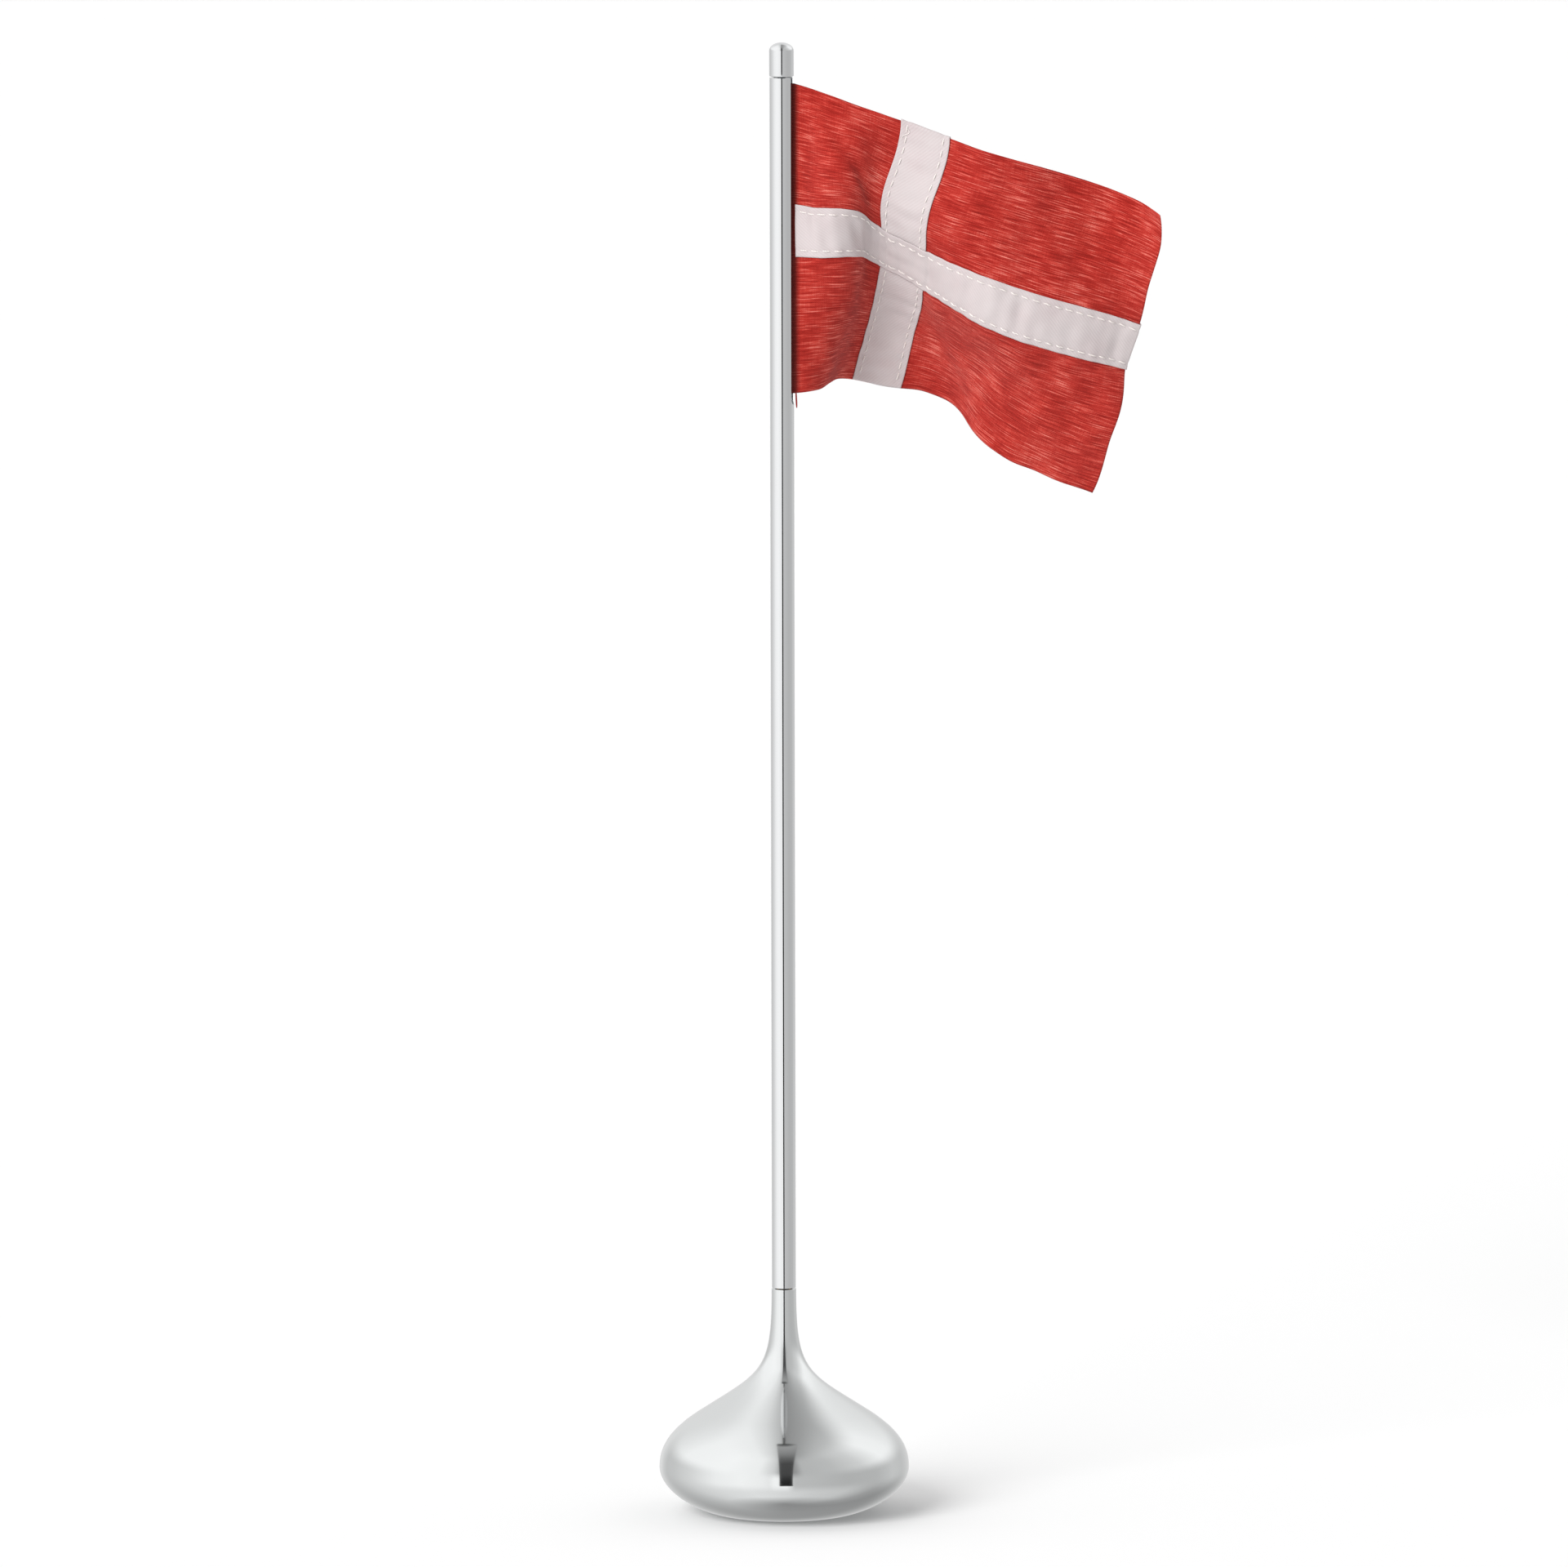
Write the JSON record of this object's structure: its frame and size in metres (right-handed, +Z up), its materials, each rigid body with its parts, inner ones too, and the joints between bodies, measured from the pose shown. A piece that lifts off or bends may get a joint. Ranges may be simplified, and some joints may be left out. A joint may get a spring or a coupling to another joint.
{
  "type": "desk flag stand",
  "caption": "Table flag stand: drop-shaped chromed foot, slotted round pole with domed push-in finial, and a small red flag with a white cross.",
  "frame": {"origin": "centre of the foot pad's underside, on the pole's axis, at table level", "axes": "+Z up along the pole, +X the way the flag flies, -Y the side of the flag's front"},
  "size_m": [0.1188, 0.0592, 0.35],
  "materials": {
    "chrome_plate": "polished nickel-chrome plating",
    "zinc_plated_steel": "satin zinc plating",
    "cast_iron": "as cast, oiled",
    "turned_brass": "turned",
    "white_nylon": "moulded",
    "black_felt": "pressed felt",
    "red_cotton": "plain woven, slubbed",
    "white_ribbon": "fine twill ribbon"
  },
  "bodies": {
    "foot": {"foot_casting": "chrome_plate", "ballast_weight": "cast_iron", "ballast_washer": "zinc_plated_steel", "ballast_screw": "zinc_plated_steel", "bottom_cover": "zinc_plated_steel", "foot_pad": "black_felt"},
    "pole": {"pole_tube": "chrome_plate", "threaded_stud": "turned_brass", "rod_guide": "white_nylon"},
    "finial": {"finial_cap": "chrome_plate", "finial_rod": "zinc_plated_steel"},
    "flag": {"flag_cloth": "red_cotton", "across_ribbon": "white_ribbon", "down_ribbon": "white_ribbon"}
  },
  "joints": [
    {"name": "pole_lift", "type": "slide", "parent": "foot", "child": "pole", "axis": [0, 0, 1], "range_m": [0, 0.014]},
    {"name": "finial_lift", "type": "slide", "parent": "pole", "child": "finial", "axis": [0, 0, 1], "range_m": [0, 0.085]},
    {"name": "flag_swing", "type": "hinge", "parent": "pole", "child": "flag", "pos_m": [0, 0, 0.3], "axis": [0, 0, 1], "range_deg": [-20, 20]}
  ]
}
